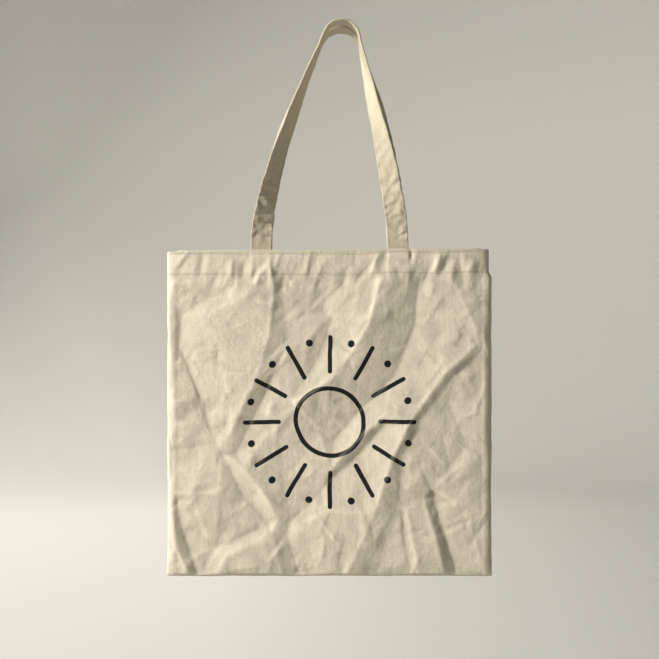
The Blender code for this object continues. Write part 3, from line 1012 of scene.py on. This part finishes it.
def print_ink(tree, split, uv, crease, cloth):
    """Mixes the print's ink over the cloth, thinner where the cloth is creased and in small specks."""
    x = split.outputs[0]
    y = tree.add(split.outputs[1], PRINT_DOWN)
    radius = tree.distance(x, y)
    angle = tree.math("ARCTAN2", y, x)
    sector = TURN / RAYS

    def folded(shift):
        turned = tree.add(tree.add(angle, TURN), shift + sector / 2)
        local = tree.minus(tree.math("MODULO", turned, sector), sector / 2)
        return (
            tree.times(radius, tree.math("COSINE", local)),
            tree.times(radius, tree.math("SINE", local)),
        )

    out, aside = folded(0.0)
    middle = (RAY_INNER + RAY_OUTER) / 2
    reach = (RAY_OUTER - RAY_INNER) / 2
    from_middle = tree.math("ABSOLUTE", tree.minus(out, middle))
    beyond = tree.math("MAXIMUM", tree.minus(from_middle, reach), 0.0)
    ray = tree.minus(tree.distance(beyond, aside), RAY_HALF_WIDTH)
    out, aside = folded(sector / 2)
    dot = tree.minus(tree.distance(tree.minus(out, DOT_AT), aside), DOT_RADIUS)
    ring = tree.math("ABSOLUTE", tree.minus(radius, RING_RADIUS))
    ring = tree.minus(ring, RAY_HALF_WIDTH)
    shape = tree.math("MINIMUM", tree.math("MINIMUM", ray, dot), ring)
    ragged = tree.times(tree.minus(tree.noise(uv, 1500.0, 2.0), 0.5), 0.0006)
    covered = tree.range(tree.add(shape, ragged), 0.00012, -0.00012)
    cracked = tree.range(tree.math("ABSOLUTE", crease), 0.35, 0.9, 1.0, 0.82)
    thin = tree.range(tree.noise(uv, 900.0, 3.0, 0.7), 0.30, 0.42, 0.93, 1.0)
    covered = tree.times(tree.times(covered, cracked), thin)
    return tree.mix(covered, cloth, (0.0060, 0.0055, 0.0075, 1.0))


def thread_material():
    tree = Tree("cotton_thread")
    place = tree.nodes.new("ShaderNodeTexCoord").outputs["Object"]
    twist = tree.noise(place, 2600.0, 2.0)
    tone = tree.range(tree.noise(place, 160.0, 2.0), 0.3, 0.7)
    colour = tree.mix(tone, (0.66, 0.60, 0.48, 1.0), (0.80, 0.74, 0.60, 1.0))
    # Painted shade at both ends of each stitch, where the thread dips into the cloth.
    colour = tree.mix(tree.stored("stitch_end_shade"), colour, (0.060, 0.046, 0.030, 1.0))
    normal = tree.bump(twist, 0.0001, 0.8)
    return tree.surface({"Base Color": colour, "Roughness": 0.75, "Sheen Weight": 0.15, "Normal": normal})


# ---- Stage, light and camera -------------------------------------------------------------------
VIEW_WIDTH = 0.770  # width of the view at the bag
CAMERA_BACK = 1.15
VIEW_BELOW_TOP = 0.0953


def make_stage():
    """A round pale floor that curves up into a wall on every side."""
    tree = Tree("pale_floor")
    place = tree.nodes.new("ShaderNodeSeparateXYZ")
    tree.links.new(tree.nodes.new("ShaderNodeTexCoord").outputs["Object"], place.inputs[0])
    behind = tree.range(place.outputs[1], -1.0, 2.0)
    shade = tree.mix(behind, (0.40, 0.395, 0.37, 1.0), (0.70, 0.69, 0.65, 1.0))
    # Painted shade: the floor is darker near the lamps, to cancel the bright pools of light they throw on it.
    from_windows = tree.distance(tree.add(place.outputs[0], 2.6), tree.times(place.outputs[1], 0.55))
    shade = tree.mix(tree.range(from_windows, 0.3, 2.4, 1.0, 0.0), shade, (0.13, 0.128, 0.12, 1.0))
    floor_z = TOP - HEIGHT - 0.30
    wall, bend, sides = 4.2, 1.6, 96
    profile = [(0.0, floor_z), (1.2, floor_z), (wall - bend, floor_z)]
    for step in range(1, 17):
        angle = math.pi / 2 * step / 16
        profile.append((wall - bend + bend * math.sin(angle), floor_z + bend * (1 - math.cos(angle))))
    profile.append((wall, floor_z + 4.5))
    verts = [(0.0, 0.0, floor_z)]
    for radius, z in profile[1:]:
        for k in range(sides):
            turn = TURN * k / sides
            verts.append((radius * math.cos(turn), radius * math.sin(turn), z))
    faces = [(0, 1 + k, 1 + (k + 1) % sides) for k in range(sides)]
    for row in range(len(profile) - 2):
        for k in range(sides):
            low = 1 + row * sides
            n = (k + 1) % sides
            faces.append((low + k, low + sides + k, low + sides + n, low + n))
    floor = mesh_object("studio_floor", verts, faces)
    floor.data.materials.append(tree.surface({"Base Color": shade, "Roughness": 0.9}))


def add_light(name, place, aim, size, power, colour):
    data = bpy.data.lights.new(name, "AREA")
    data.shape = "DISK"
    data.size = size
    data.energy = power
    data.color = colour
    light = add_object(name, data)
    light.location = place
    light.rotation_euler = (Vector(aim) - Vector(place)).to_track_quat("-Z", "Y").to_euler()


def make_lights_and_camera():
    centre = Vector((MIDDLE_X, 0.0, TOP - HEIGHT / 2))
    add_light("window", (-2.69, -1.50, 0.78), centre, 0.60, 162.0, (1.0, 0.975, 0.925))
    add_light("fill", (0.6, -2.2, 0.3), centre, 1.6, 1.2, (0.94, 0.97, 1.0))
    add_light("back_window", (-2.6, 1.75, 1.0), centre, 0.6, 112.0, (1.0, 0.97, 0.91))
    world = bpy.data.worlds.new("studio")
    world.use_nodes = True
    background = world.node_tree.nodes["Background"]
    background.inputs["Color"].default_value = (0.88, 0.82, 0.68, 1.0)
    background.inputs["Strength"].default_value = 0.03
    bpy.context.scene.world = world
    bpy.context.scene.view_settings.view_transform = "Standard"
    data = bpy.data.cameras.new("camera")
    data.sensor_width = 36.0
    data.lens = 36.0 * CAMERA_BACK / VIEW_WIDTH
    data.clip_end = 20.0
    camera = add_object("camera", data)
    camera.location = (MIDDLE_X, -CAMERA_BACK - FACE_Y, TOP - VIEW_BELOW_TOP)
    camera.rotation_euler = (math.pi / 2, 0.0, 0.0)
    bpy.context.scene.camera = camera


# ---- Putting it together -----------------------------------------------------------------------
CANVAS_TONES = ((0.66, 0.605, 0.485, 1.0), (0.615, 0.558, 0.442, 1.0))
STRAP_TONES = ((0.55, 0.495, 0.375, 1.0), (0.505, 0.450, 0.335, 1.0))

make_stage()
make_lights_and_camera()
MATERIALS = {
    "front": canvas("printed_canvas", *CANVAS_TONES, hemmed=True, ink=True),
    "back": canvas("plain_canvas", *CANVAS_TONES, hemmed=True),
    "strap": canvas("strap_canvas", *STRAP_TONES),
    "thread": thread_material(),
}

for word, side, folds in (("front", FRONT, FRONT_FOLDS), ("back", BACK, BACK_FOLDS)):
    panel = make_panel(f"{word}_cloth", side, folds)
    panel.data.materials.append(MATERIALS[word])
    finish_piece(panel, "bag", "canvas", f"{word}_panel")
    hem_stitches(word, side, panel)
    strap, frames = make_strap(f"{word}_strap", side)
    strap.data.materials.append(MATERIALS["strap"])
    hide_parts(f"{word}_handle", f"{word}_handle_left_end", f"{word}_handle_right_end")
    over_hem(strap)
    strap_stitches(word, side, frames)

half = WIDTH / 2
low_z = TOP - HEIGHT + 0.0135
for hand, sign in (("left", -1), ("right", 1)):
    x = MIDDLE_X + sign * (half - EDGE_TURN)
    seam_pieces(f"{hand}_seam", Vector((x, 0, low_z)), Vector((x, 0, TOP - 0.006)), Vector((-sign, 0, 0)))
reach = half - ALLOWANCE - 0.004
left = Vector((MIDDLE_X - reach, 0, TOP - HEIGHT))
right = Vector((MIDDLE_X + reach, 0, TOP - HEIGHT))
seam_pieces("bottom_seam", left, right, Vector((0, 0, 1)))
